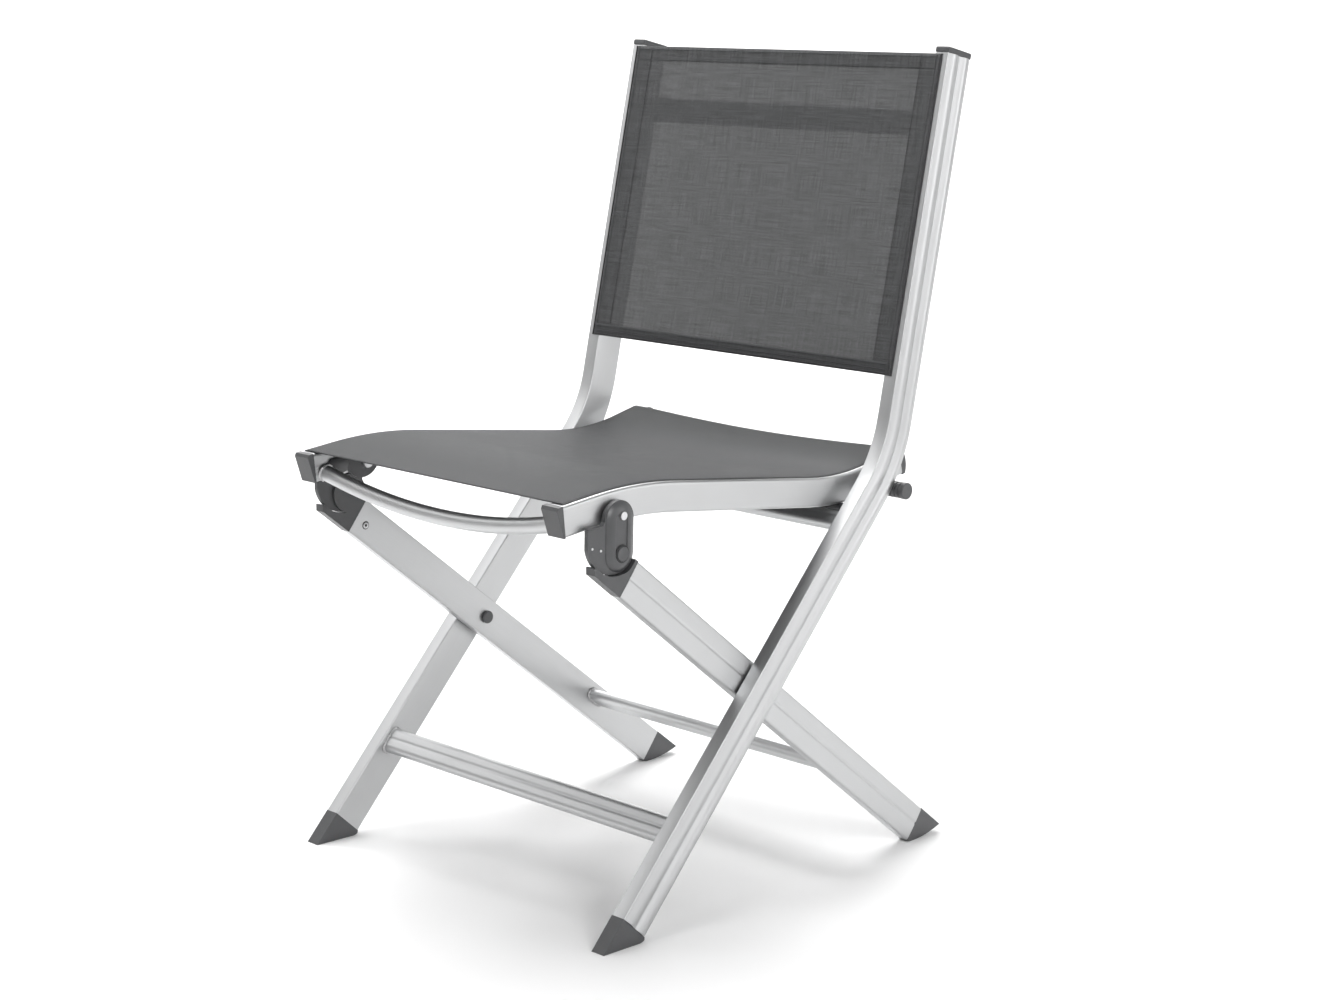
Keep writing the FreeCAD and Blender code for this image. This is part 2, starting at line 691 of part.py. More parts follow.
def make_seat_cord(label, side):
    """The plastic cord in the seat sling's turned edge."""
    body = new_body(f"seat_cord_{label}")
    start, width = across(side, "seat_sling_side - 2.4", "seat_sling_side + 0.4")
    cord = rail_strip("channel_deep - 2.4", "channel_deep", "rail_front_run - 1", "rail_rear_run - 6")
    pad(body, start, width, cord)


def make_hinge_plate(label, side):
    """A plastic plate on the rail's inner face, which the hinge pin's nut bears on."""
    body = new_body(f"hinge_plate_{label}")
    start, width = across(side, "rail_inner - 3", "rail_inner")
    outline = [
        straight(("hinge_y - 26", "hinge_z - 5")),
        straight(("hinge_y - 22", "hinge_z + 9")),
        straight(("hinge_y + 14", "hinge_z + 12")),
        curved(("hinge_y + 16", "hinge_z - 3"), "24", -1),
    ]
    pad(body, start, width, outline)
    pocket(body, f"{start} - 1", f"{width} + 2", circle=(HINGE, "pivot_bore"))


def make_front_bow():
    """The round tube between the rails' fronts, bowed down so that it clears the sitter's legs."""
    solids = []
    span = 2 * math.degrees(math.asin(SIZES["rail_inner"] / SIZES["bow_radius"])) + 4
    for name, radius in (("bow_outside", "bow_tube"), ("bow_inside", "bow_tube - wall")):
        ring = doc.addObject("Part::Torus", name)
        ring.setExpression("Radius1", bound("bow_radius"))
        ring.setExpression("Radius2", bound(radius))
        ring.Angle3 = span
        turned = FreeCAD.Rotation(FreeCAD.Vector(1, 0, 0), 90 + SIZES["bow_lean"])
        start = FreeCAD.Rotation(FreeCAD.Vector(0, 0, 1), -90 - span / 2)
        ring.Placement = FreeCAD.Placement(FreeCAD.Vector(0, 0, 0), turned.multiply(start))
        ring.setExpression("Placement.Base.y", bound("bow_y - bow_radius * sin(bow_lean)"))
        ring.setExpression("Placement.Base.z", bound("bow_low + bow_radius * cos(bow_lean)"))
        solids.append(ring)
    tube = doc.addObject("Part::Cut", "bow_tube_whole")
    tube.Base, tube.Tool = solids
    gap = doc.addObject("Part::Box", "rail_gap")
    gap.setExpression("Length", bound("2 * rail_inner"))
    gap.Width = 200
    gap.Height = 200
    gap.setExpression("Placement.Base.x", bound("-rail_inner"))
    gap.setExpression("Placement.Base.y", bound("bow_y - 100"))
    gap.setExpression("Placement.Base.z", bound("bow_low - 60"))
    bow = doc.addObject("Part::Common", "seat_front_bow")
    bow.Base, bow.Tool = tube, gap
    bow.Label = "seat_front_bow"
    bow.setExpression("Placement.Base.y", bound("-centre_y"))
    nodes.append(bow)


def make_roller_rod():
    """The rod through both rails, and the tube round it that holds the rails apart."""
    rod = new_body("roller_rod")
    pad(rod, "-roller_end + 4", "2 * roller_end - 8", circle=(ROLLER, "rod_radius"))
    tube = new_body("seat_rear_tube")
    pad(tube, "-rail_inner", "2 * rail_inner", circle=(ROLLER, "roller_radius"))
    pocket(tube, "-rail_inner - 1", "2 * rail_inner + 2", circle=(ROLLER, "rod_radius + 1.5"))


def make_roller(label, side):
    """A ribbed plastic sleeve on the rod's end, with a round end cap."""
    body = new_body(f"roller_{label}")
    inner = "rail_inner + rail_thick + 0.2"
    start, width = across(side, inner, "roller_end - 5")
    pad(body, start, width, circle=(ROLLER, "roller_radius - 0.8"))
    ribs = 7
    step = f"((roller_end - 5) - ({inner})) / {ribs}"
    for i in range(ribs):
        rib = f"{inner} + ({step}) * {i}"
        place, thick = across(side, rib, f"{rib} + ({step}) * 0.55")
        pad(body, place, thick, circle=(ROLLER, "roller_radius"))
    pocket(body, f"{start} - 1", f"{width} + 2", circle=(ROLLER, "rod_radius"))

    cap = new_body(f"roller_cap_{label}")
    start, width = across(side, "roller_end - 5", "roller_end")
    base = pad(cap, start, width, circle=(ROLLER, "roller_radius + 0.4"))
    face = side * number("roller_end")
    round_edges(cap, base, 1.2, lambda edge: all(abs(v.X - face) < 0.01 for v in edge.Vertexes))
    start, width = across(side, "roller_end - 6", "roller_end - 4")
    pocket(cap, start, width, circle=(ROLLER, "rod_radius"))


# ---- build, check and write --------------------------------------------------------------------------

for label, side in SIDES.items():
    make_upright(label, side)
    make_top_cap(label, side)
    make_front_foot(label, side)
    make_rest_pad(label, side)
    make_back_cord(label, side)
    make_pivot(label, side)
    make_rear_leg(label, side)
    make_rear_foot(label, side)
    make_leg_plug(label, side)
    make_hinge(label, side)
    make_rail(label, side)
    make_seat_caps(label, side)
    make_seat_cord(label, side)
    make_hinge_plate(label, side)
    make_roller(label, side)
make_cross_tube("front_stretcher", ("stretcher_y", "stretcher_z"), "front_lean", "upright_inner")
make_cross_tube("rest_bar", ("rest_bar_y", "rest_bar_z"), "front_lean", "upright_inner")
make_cross_tube("back_crossbar", ("crossbar_y", "crossbar_z"), "back_lean", "upright_inner")
make_cross_tube("rear_stretcher", ("rear_bar_y", "rear_bar_z"), "leg_lean", "leg_inner")
make_back_sling()
make_seat_sling()
make_front_bow()
make_roller_rod()
doc.recompute()

faults = [f"{item.Name} {item.State}" for item in doc.Objects if {"Invalid", "Error"} & set(item.State)]
for node in nodes:
    if node.Shape.isNull() or not node.Shape.isValid() or len(node.Shape.Solids) != 1:
        faults.append(f"{node.Label} is not one valid solid")
if faults:
    raise ValueError("; ".join(faults))

os.makedirs("parts", exist_ok=True)
whole = FreeCAD.BoundBox()
for node in nodes:
    node.Shape.exportStep(f"parts/{node.Label}.step")
    whole.add(node.Shape.BoundBox)
print(f"{len(nodes)} sub-parts, X {whole.XMin:.1f} to {whole.XMax:.1f}, "
      f"Y {whole.YMin:.1f} to {whole.YMax:.1f}, Z {whole.ZMin:.1f} to {whole.ZMax:.1f}")
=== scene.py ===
import bmesh
import bpy
import json
import math
import numpy as np
from mathutils import Matrix, Vector


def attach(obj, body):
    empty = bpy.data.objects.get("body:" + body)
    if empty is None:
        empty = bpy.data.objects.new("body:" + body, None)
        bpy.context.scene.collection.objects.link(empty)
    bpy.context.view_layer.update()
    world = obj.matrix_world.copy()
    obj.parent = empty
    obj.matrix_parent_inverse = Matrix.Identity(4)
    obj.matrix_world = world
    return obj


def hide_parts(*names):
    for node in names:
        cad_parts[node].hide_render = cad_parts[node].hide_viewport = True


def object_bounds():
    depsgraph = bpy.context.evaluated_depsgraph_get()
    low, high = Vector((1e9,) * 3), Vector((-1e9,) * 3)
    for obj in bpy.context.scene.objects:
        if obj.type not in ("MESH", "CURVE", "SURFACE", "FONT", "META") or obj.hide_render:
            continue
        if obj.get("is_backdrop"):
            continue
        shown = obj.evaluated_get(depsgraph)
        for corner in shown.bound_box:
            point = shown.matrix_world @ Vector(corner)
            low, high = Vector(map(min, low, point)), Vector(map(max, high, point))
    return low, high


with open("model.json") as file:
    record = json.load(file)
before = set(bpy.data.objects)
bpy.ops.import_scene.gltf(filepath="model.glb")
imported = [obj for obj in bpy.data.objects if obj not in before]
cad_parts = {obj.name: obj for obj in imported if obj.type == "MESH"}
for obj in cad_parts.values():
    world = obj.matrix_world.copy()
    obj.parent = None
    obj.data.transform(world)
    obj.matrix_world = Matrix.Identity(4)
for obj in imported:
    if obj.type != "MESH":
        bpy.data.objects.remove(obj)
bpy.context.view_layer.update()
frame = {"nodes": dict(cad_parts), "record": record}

# ---- Uprights -----------------------------------------------------------------------------------------
# Each upright is one aluminium extrusion, bent once above the seat, whose outer face has two crowns with
# a groove between them. It is satin anodised after the bend, so fine drawing lines run along it.


class Wire:
    """A socket of a material's tree. Python's operators on it add Math nodes."""

    def __init__(self, tree, socket):
        self.tree = tree
        self.socket = socket

    def maths(self, operation, *values):
        return add_node(self.tree, "ShaderNodeMath", values, operation=operation)

    def __add__(self, other):
        return self.maths("ADD", self, other)

    def __radd__(self, other):
        return self.maths("ADD", other, self)

    def __sub__(self, other):
        return self.maths("SUBTRACT", self, other)

    def __rsub__(self, other):
        return self.maths("SUBTRACT", other, self)

    def __mul__(self, other):
        return self.maths("MULTIPLY", self, other)


def add_node(tree, kind, inputs=(), output=0, **settings):
    """Adds a node, sets its properties and inputs, and returns one output as a Wire."""
    made = tree.nodes.new(kind)
    for name, value in settings.items():
        setattr(made, name, value)
    pairs = inputs.items() if isinstance(inputs, dict) else enumerate(inputs)
    for name, value in pairs:
        if isinstance(value, Wire):
            tree.links.new(value.socket, made.inputs[name])
        elif value is not None:
            made.inputs[name].default_value = value
    return Wire(tree, made.outputs[output])


def new_material(name, **constants):
    """An empty material, its tree and its surface shader, with the shader's constants set by input name."""
    material = bpy.data.materials.new(name)
    material.use_nodes = True
    tree = material.node_tree
    shader = next(n for n in tree.nodes if n.type == "BSDF_PRINCIPLED")
    for label, value in constants.items():
        shader.inputs[label.replace("_", " ")].default_value = value
    return material, tree, shader


def split(tree, vector):
    """The X, Y and Z of a vector."""
    node = tree.nodes.new("ShaderNodeSeparateXYZ")
    tree.links.new(vector.socket, node.inputs[0])
    return [Wire(tree, out) for out in node.outputs]


def mix_colours(tree, factor, first, second):
    """A colour between two, by a factor from 0 to 1."""
    inputs = {"Factor": factor, "A": first, "B": second}
    node = tree.nodes.new("ShaderNodeMix")
    node.data_type = "RGBA"
    sockets = {"Factor": node.inputs[0], "A": node.inputs[6], "B": node.inputs[7]}
    for label, value in inputs.items():
        if isinstance(value, Wire):
            tree.links.new(value.socket, sockets[label])
        else:
            sockets[label].default_value = value
    return Wire(tree, node.outputs[2])


def anodised(name, bright, coordinates):
    """Satin aluminium: drawing lines along the length vary its roughness and tilt its surface slightly."""
    material, tree, shader = new_material(name, Metallic=1.0)
    if coordinates == "UV":
        place = add_node(tree, "ShaderNodeUVMap", uv_map="along_around")
    else:
        place = add_node(tree, "ShaderNodeTexCoord", output=3)
    along, around, across = split(tree, place)
    stretched = add_node(tree, "ShaderNodeCombineXYZ", [along * 14.0, around * 1400.0, across * 1400.0])
    lines = add_node(tree, "ShaderNodeTexNoise", {"Vector": stretched, "Scale": 1.0, "Detail": 3.0})
    broad = add_node(tree, "ShaderNodeCombineXYZ", [along * 26.0, around * 40.0, across * 40.0])
    cloud = add_node(tree, "ShaderNodeTexNoise", {"Vector": broad, "Scale": 1.0, "Detail": 2.0})
    tone = cloud * 0.35 + lines * 0.65
    dim = [0.86 * channel for channel in bright[:3]] + [1.0]
    colour = mix_colours(tree, tone, dim, bright)
    tree.links.new(colour.socket, shader.inputs["Base Color"])
    rough = 0.33 + lines * 0.12 + cloud * 0.05
    tree.links.new(rough.socket, shader.inputs["Roughness"])
    bump = add_node(tree, "ShaderNodeBump", {"Height": lines, "Strength": 0.12, "Distance": 0.0002})
    tree.links.new(bump.socket, shader.inputs["Normal"])
    return material


def bent_path(corners, radii, step=0.003):
    """Points and directions along straight runs joined by arcs, at about `step` apart: an arc of radius r
    that turns by 2a starts r*tan(a) before its corner, and its points are centre + r*(cos, sin)."""
    corners = np.asarray(corners, float)
    points = []
    last = corners[0]
    for corner, after, radius in zip(corners[1:-1], corners[2:], radii):
        into = (corner - last) / np.linalg.norm(corner - last)
        out = (after - corner) / np.linalg.norm(after - corner)
        turn = math.atan2(into[0] * out[1] - into[1] * out[0], into @ out)
        run = radius * math.tan(abs(turn) / 2)
        start, end = corner - into * run, corner + out * run
        count = max(2, int(np.linalg.norm(start - last) / step))
        points.append(last + (start - last) * np.linspace(0, 1, count, endpoint=False)[:, None])
        side = np.array([-into[1], into[0]]) * math.copysign(1, turn)
        centre = start + side * radius
        angles = np.linspace(0, turn, max(8, int(abs(turn) * radius / step)), endpoint=False)
        arm = start - centre
        swung_y = arm[0] * np.cos(angles) - arm[1] * np.sin(angles)
        swung_z = arm[0] * np.sin(angles) + arm[1] * np.cos(angles)
        points.append(centre + np.stack([swung_y, swung_z], 1))
        last = end
    count = max(2, int(np.linalg.norm(corners[-1] - last) / step))
    points.append(last + (corners[-1] - last) * np.linspace(0, 1, count)[:, None])
    path = np.concatenate(points)
    direction = np.gradient(path, axis=0)
    return path, direction / np.linalg.norm(direction, axis=1)[:, None]


def side_sweep(path, direction, profile):
    """A profile carried along a side-on path: point(i, j) = (x_j, path_i + depth_j * rear_i), where the rear
    direction is the path's own, turned a quarter back."""
    rear = np.stack([direction[:, 1], -direction[:, 0]], 1)
    x = np.broadcast_to(profile[None, :, 0], (len(path), len(profile)))
    yz = path[:, None, :] + profile[None, :, 1, None] * rear[:, None, :]
    return np.concatenate([x[..., None], yz], 2)


def surface(name, grid, material, body, around=True, ends=True):
    """A mesh through a grid of points, closed around its second direction, with flat ends. Its UV map holds
    the distances along and across it, in metres, and edges that turn by 50 degrees or more stay sharp."""
    rows, columns = grid.shape[:2]
    index = np.arange(rows * columns).reshape(rows, columns)
    if around:
        index = np.concatenate([index, index[:, :1]], 1)
    quads = np.stack([index[:-1, :-1], index[1:, :-1], index[1:, 1:], index[:-1, 1:]], -1).reshape(-1, 4)
    faces = quads.tolist()
    if ends:
        faces.append(index[0, :columns].tolist())
        faces.append(index[-1, :columns][::-1].tolist())
    mesh = bpy.data.meshes.new(name)
    mesh.from_pydata(grid.reshape(-1, 3).tolist(), [], faces)
    along = np.concatenate([[0], np.cumsum(np.linalg.norm(np.diff(grid.mean(1), axis=0), axis=1))])
    closed = np.concatenate([grid[:1], grid[:1, :1]], 1)[0] if around else grid[0]
    across = np.concatenate([[0], np.cumsum(np.linalg.norm(np.diff(closed, axis=0), axis=1))])
    u, v = np.meshgrid(along, across, indexing="ij")
    flat_index = np.arange(rows * u.shape[1]).reshape(rows, -1)
    near, far = flat_index[:-1], flat_index[1:]
    corner = np.stack([near[:, :-1], far[:, :-1], far[:, 1:], near[:, 1:]], -1)
    places = np.stack([u.ravel(), v.ravel()], 1)[corner.reshape(-1)]
    layer = mesh.uv_layers.new(name="along_around")
    spare = np.zeros((len(mesh.loops) - len(places), 2))
    layer.data.foreach_set("uv", np.concatenate([places, spare]).astype(np.float32).ravel())
    mesh.polygons.foreach_set("use_smooth", np.ones(len(mesh.polygons), bool))
    piece = bpy.data.objects.new(name, mesh)
    bpy.context.scene.collection.objects.link(piece)
    shape = bmesh.new()
    shape.from_mesh(mesh)
    if around:
        bmesh.ops.recalc_face_normals(shape, faces=shape.faces)
    sharp = math.radians(50)
    for edge in shape.edges:
        edge.smooth = len(edge.link_faces) != 2 or edge.calc_face_angle(0.0) < sharp
    shape.to_mesh(mesh)
    shape.free()
    mesh.materials.append(material)
    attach(piece, body)
    return piece


def mirrored(grid):
    """The other side's grid, in the order that keeps its faces outwards."""
    return grid[:, ::-1] * np.array([-1.0, 1.0, 1.0])


def rounded(corners, radius, count=5):
    """A closed outline with its corners rounded: arcs of quadratic curves between points a radius away."""
    corners = np.asarray(corners, float)
    radii = np.broadcast_to(radius, len(corners))
    share = np.linspace(0, 1, count)[:, None]
    pieces = []
    for before, corner, after, size in zip(np.roll(corners, 1, 0), corners, np.roll(corners, -1, 0), radii):
        start = corner + (before - corner) / np.linalg.norm(before - corner) * size
        end = corner + (after - corner) / np.linalg.norm(after - corner) * size
        pieces.append((1 - share) ** 2 * start + 2 * share * (1 - share) * corner + share**2 * end)
    return np.concatenate(pieces)


aluminium = anodised("satin_aluminium", (0.585, 0.59, 0.595, 1.0), "UV")

# side-on places are measured rearwards from where the uprights' front line meets the floor, and the origin
# is centre_y behind that
centre_y = 0.2596
upright_inner, upright_outer, upright_depth = 0.2200, 0.2374, 0.0400
# each crown is outer + height * sin(pi * t), with t from 0 to 1 between its two edges
across_crown = np.linspace(0.0, 1.0, 14)
front_crown = np.stack([0.2371 + 0.0026 * np.sin(math.pi * across_crown), 0.0024 + 0.0172 * across_crown], 1)
across_crown = np.linspace(0.0, 1.0, 12)
rear_crown = np.stack([0.2371 + 0.0024 * np.sin(math.pi * across_crown), 0.0240 + 0.0142 * across_crown], 1)
corner_in = rounded(
    [[upright_inner, 0.0], [upright_outer, 0.0],
     [upright_outer, upright_depth], [upright_inner, upright_depth]],
    [0.0016, 0.0010, 0.0022, 0.0016],
)
upright_profile = np.concatenate([
    corner_in[:10],
    [[0.2370, 0.0016]],
    front_crown,
    [[0.2366, 0.0206], [0.2361, 0.0218], [0.2366, 0.0230]],
    rear_crown,
    corner_in[12:],
])
# below the bend the upright leans back by 41.6 degrees, and above it by 11
lean, back = math.radians(41.6), math.radians(11.0)
foot_end = np.array([0.042 * math.sin(lean) - centre_y, 0.042 * math.cos(lean)])
bend = np.array([0.4097 - centre_y, 0.4613])
back_up = np.array([math.sin(back), math.cos(back)])
upright_path = bent_path([foot_end, bend, bend + back_up * 0.4335], [0.140])
upright_grid = side_sweep(*upright_path, upright_profile)
for side, grid in (("right", upright_grid), ("left", mirrored(upright_grid))):
    piece = surface(f"upright_extrusion_{side}", grid, aluminium, "frame")
    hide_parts(f"upright_{side}")

# ---- Cross tubes and their welds ----------------------------------------------------------------------
# Flat-oval tubes with one groove down each broad face join the uprights low at the front, under the seat
# and behind the back. Each end is welded all round, and the bead is a little uneven.


def oval_ring(wide, thick, groove, count=64):
    """A flat oval as points (along its long way, across it): half rounds with straight sides, and a shallow
    groove of depth g*exp(-(s/w)^2) down the middle of each side."""
    half, flat = thick / 2, (wide - thick) / 2
    angle = np.linspace(-math.pi / 2, math.pi / 2, count // 4)
    cap = np.stack([flat + half * np.cos(angle), half * np.sin(angle)], 1)
    run = np.linspace(flat, -flat, count // 4 + 2)[1:-1]
    dip = half - groove * np.exp(-((run / 0.0016) ** 2))
    top = np.stack([run, dip], 1)
    return np.concatenate([cap, top, -cap, -top])


def cross_tube(name, centre, tilt, half_span, replaced, body):
    """An oval tube between two legs with a bead round each end: the bead is a ring of radius r*(1+ripple)."""
    up = np.array([math.sin(tilt), math.cos(tilt)])
    rear = np.array([up[1], -up[0]])
    middle = np.array([centre[0] - centre_y, centre[1]])
    ring = oval_ring(0.030, 0.014, 0.0006)
    spans = np.linspace(-half_span, half_span, 90)
    yz = middle + ring[:, :1] * up + ring[:, 1:] * rear
    grid = np.concatenate([np.broadcast_to(spans[:, None, None], (90, len(ring), 1)),
                           np.broadcast_to(yz[None], (90, len(ring), 2))], 2)
    tube = surface(f"{name}_tube", grid, aluminium, body)
    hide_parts(replaced)
    outline = oval_ring(0.030, 0.014, 0.0)
    outward = outline / np.linalg.norm(outline, axis=1)[:, None]
    turn = np.linspace(0, 2 * math.pi, 10, endpoint=False)
    place = np.arange(len(outline))
    for side, sign in (("right", 1), ("left", -1)):
        size = 0.0019 * (1 + 0.22 * np.sin(place * 2.4 + sign) + 0.1 * np.sin(place * 5.1))
        reach = outline[:, None] + outward[:, None] * (size[:, None] * np.cos(turn))[..., None]
        bead_yz = middle + reach[..., :1] * up + reach[..., 1:] * rear
        x = sign * (half_span - 0.0004) - sign * np.abs(size[:, None] * np.sin(turn))
        bead = np.concatenate([x[..., None], bead_yz], 2)
        bead = np.concatenate([bead, bead[:1]])
        surface(f"{name}_weld_{side}", bead, weld_metal, body, ends=False)


weld_metal = anodised("weld_aluminium", (0.55, 0.55, 0.555, 1.0), "UV")
cross_tube("front_stretcher", (0.1073, 0.1009), lean, 0.2200, "front_stretcher", "frame")
cross_tube("rest_bar", (0.3830, 0.3885), lean, 0.2200, "rest_bar", "frame")
cross_tube("back_crossbar", (0.4950, 0.8110), back, 0.2200, "back_crossbar", "frame")

# ---- Rear legs ----------------------------------------------------------------------------------------
# Straight, slimmer extrusions that cross inside the uprights. Their outer face has one groove; the inner
# face is flat, and a flat-oval stretcher is welded between them near the floor.

cross_tube("rear_stretcher", (0.4175, 0.0993), math.radians(-53.05), 0.2050, "rear_stretcher", "rear_legs")
tilt = math.radians(-53.05)
leg_up = np.array([math.sin(tilt), math.cos(tilt)])
leg_rear = np.array([leg_up[1], -leg_up[0]])
pivot = np.array([0.2359 - centre_y, 0.2285])
leg_inner, leg_outer, leg_half = 0.2050, 0.2175, 0.0205
leg_corners = rounded(
    [[leg_inner, -leg_half], [leg_outer, -leg_half], [leg_outer, leg_half], [leg_inner, leg_half]],
    [0.0014, 0.0028, 0.0028, 0.0014],
)
depth = np.linspace(-0.0165, 0.0165, 34)
outer_face = np.stack([0.2175 + 0.0004 * np.cos(depth / 0.0165 * math.pi / 2)
                       - 0.0009 * np.exp(-(((depth - 0.0015) / 0.0013) ** 2)), depth], 1)
leg_profile = np.concatenate([leg_corners[:10], outer_face, leg_corners[10:]])
ends = np.linspace(-0.349, 0.238, 150)[:, None]
leg_path = pivot + ends * leg_up
leg_grid = side_sweep(leg_path, np.broadcast_to(leg_up, leg_path.shape), leg_profile)
for side, grid in (("right", leg_grid), ("left", mirrored(leg_grid))):
    piece = surface(f"rear_leg_extrusion_{side}", grid, aluminium, "rear_legs")
    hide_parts(f"rear_leg_{side}")

# ---- Seat rails and front bow -------------------------------------------------------------------------
# The rails are rounded rectangular extrusions, curved twice side-on: a crest under the knees and a hollow
# at the back. A round tube bows down between their fronts and is welded to their inner faces.

crest, hollow = np.array([0.0669 - centre_y, 0.4651]), np.array([0.3851 - centre_y, 0.4334])
nose_way = np.array([math.sin(math.radians(82.5)), math.cos(math.radians(82.5))])
tail_way = np.array([math.sin(math.radians(75.5)), math.cos(math.radians(75.5))])
rail_path = bent_path([crest - nose_way * 0.1008, crest, hollow, hollow + tail_way * 0.094], [0.500, 0.292])
rail_profile = rounded([[0.1815, 0.0], [0.2045, 0.0], [0.2045, 0.0320], [0.1815, 0.0320]], 0.0040, 8)
rail_grid = side_sweep(*rail_path, rail_profile)
for side, grid in (("right", rail_grid), ("left", mirrored(rail_grid))):
    piece = surface(f"rail_extrusion_{side}", grid, aluminium, "seat")
    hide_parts(f"seat_rail_{side}")

bow_angle = np.linspace(-1, 1, 80) * math.asin(0.1817 / 0.764)
bow_tilt = math.radians(12.0)
around = np.linspace(0, 2 * math.pi, 28, endpoint=False)
reach = 0.764 + 0.0085 * np.cos(around)[None]
height = 0.764 - reach * np.cos(bow_angle)[:, None]
offset = 0.0085 * np.sin(around)[None] + 0 * height
bow = np.stack([
    reach * np.sin(bow_angle)[:, None],
    -0.0120 - centre_y - height * math.sin(bow_tilt) + offset * math.cos(bow_tilt),
    0.4085 + height * math.cos(bow_tilt) + offset * math.sin(bow_tilt),
], 2)
piece = surface("front_bow_tube", bow, aluminium, "seat")
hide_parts("seat_front_bow")
for side, sign in (("right", 1), ("left", -1)):
    ring = bow[-1] if sign > 0 else bow[0]
    centre = ring.mean(0)
    turn = np.linspace(0, 2 * math.pi, 8, endpoint=False)
    size = 0.0018 * (1 + 0.2 * np.sin(np.arange(28) * 2.7))
    outward = (ring - centre) / np.linalg.norm(ring - centre, axis=1)[:, None]
    bead = ring[:, None] + outward[:, None] * (size[:, None] * np.cos(turn))[..., None]
    bead[..., 0] -= sign * np.abs(size[:, None] * np.sin(turn)) + sign * 0.0004
    bead = np.concatenate([bead, bead[:1]])
    surface(f"front_bow_weld_{side}", bead, weld_metal, "seat", ends=False)

# ---- Slings -------------------------------------------------------------------------------------------
# Both slings are coated polyester mesh, stretched between the extrusions: each side edge is sewn round a
# plastic cord and slid into a channel. The back's edges are double, so less light comes through them, and
# their copy of the cloth is a darker grey than the back's, painted shade for the double layer.


def mesh_cloth(name, colour, openness):
    """Woven mesh: threads at 1.1 mm pitch in both directions, with a hole at each crossing of the gaps whose
    clearness is 4 * openness at its middle. The weave and slubs along both threads vary the colour."""
    material, tree, shader = new_material(name, Metallic=0.0, Specular_IOR_Level=0.2)
    place = add_node(tree, "ShaderNodeUVMap", uv_map="along_around")
    along, around = split(tree, place)[:2]
    pitch = 2 * math.pi / 0.0011
    warp = (along * pitch).maths("SINE", along * pitch) * 0.5 + 0.5
    weft = (around * pitch).maths("SINE", around * pitch) * 0.5 + 0.5
    slub_a = add_node(tree, "ShaderNodeCombineXYZ", [along * 620.0, around * 22.0, 0.0])
    slub_b = add_node(tree, "ShaderNodeCombineXYZ", [along * 22.0, around * 620.0, 0.0])
    noise_a = add_node(tree, "ShaderNodeTexNoise", {"Vector": slub_a, "Scale": 1.0, "Detail": 2.0})
    noise_b = add_node(tree, "ShaderNodeTexNoise", {"Vector": slub_b, "Scale": 1.0, "Detail": 2.0})
    slubs = (noise_a + noise_b - 1.0) * 1.9 + 0.5
    height = warp.maths("MAXIMUM", warp, weft)
    tone = height * 0.35 + slubs * 0.7 - 0.02
    dark = [0.55 * channel for channel in colour[:3]] + [1.0]
    light = [1.45 * channel for channel in colour[:3]] + [1.0]
    shade = mix_colours(tree, tone, dark, light)
    tree.links.new(shade.socket, shader.inputs["Base Color"])
    rough = 0.52 + slubs * 0.2
    tree.links.new(rough.socket, shader.inputs["Roughness"])
    bump = add_node(tree, "ShaderNodeBump", {"Height": height, "Strength": 0.35, "Distance": 0.0003})
    tree.links.new(bump.socket, shader.inputs["Normal"])
    gap = (1.0 - warp) * (1.0 - weft)
    hole = gap * (openness * 4.0)
    cover = 1.0 - hole.maths("MINIMUM", hole, 0.9)
    tree.links.new(cover.socket, shader.inputs["Alpha"])
    return material


def cloth(name, grid, thick, material, body):
    """A sheet through a grid of points, given its thickness on both sides of them."""
    piece = surface(name, grid, material, body, around=False, ends=False)
    solid = piece.modifiers.new("thickness", "SOLIDIFY")
    solid.thickness = thick
    solid.offset = 0.0
    return piece


back_cloth = mesh_cloth("back_mesh", (0.077, 0.078, 0.08, 1.0), 0.17)
# the hems' cloth is darker than the back's: painted shade for the double layer, besides its smaller holes
shaded_hem_cloth = mesh_cloth("back_hem_mesh_shaded", (0.05, 0.051, 0.053, 1.0), 0.0175)
# the seat's cloth is darker than the back's: painted shade that offsets the light on its top
shaded_seat_cloth = mesh_cloth("seat_mesh", (0.054, 0.055, 0.057, 1.0), 0.06)

back_rear = np.array([back_up[1], -back_up[0]])
back_low, back_length = 0.0835, 0.3485
back_high = back_low + back_length


def on_back(across, up, proud):
    """Points of the back sling: across the chair, up from the bend, and in front of the uprights' faces. The
    span sags back by c*(1 - (x/w)^2), most in the middle of its height."""
    across, up, proud = np.broadcast_arrays(across, up, proud)
    share_up = np.clip((up - back_low) / back_length, 0, 1)
    sag = 0.004 * np.clip(1 - (across / 0.219) ** 2, 0, 1) * np.sin(math.pi * share_up)
    yz = bend + up[..., None] * back_up + (sag - proud)[..., None] * back_rear
    return np.concatenate([across[..., None], yz], -1)


def turned_edges(half_width, drop, inner, count):
    """Distances across a sling and how far it stands proud: level between the channels, and rounded down
    into them at both sides."""
    angle = np.linspace(0, math.pi / 2, 7)
    bend_x = half_width - 0.0016 + 0.0016 * np.sin(angle)
    bend_z = 0.0009 - 0.0016 * (1 - np.cos(angle))
    right_x = np.concatenate([bend_x, [half_width, half_width]])
    right_z = np.concatenate([bend_z, [-drop * 0.6, -drop]])
    middle = np.linspace(-inner, inner, count)
    x = np.concatenate([-right_x[::-1], middle, right_x])
    proud = np.concatenate([right_z[::-1], np.full(count, 0.0009), right_z])
    return x, proud


x, proud = turned_edges(0.2285, 0.0035, 0.2260, 90)
heights = np.linspace(back_low, back_high, 70)
back_grid = on_back(x[None], heights[:, None], proud[None])
back_sheet = cloth("back_sling_mesh", back_grid, 0.0007, back_cloth, "frame")
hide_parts("back_sling")

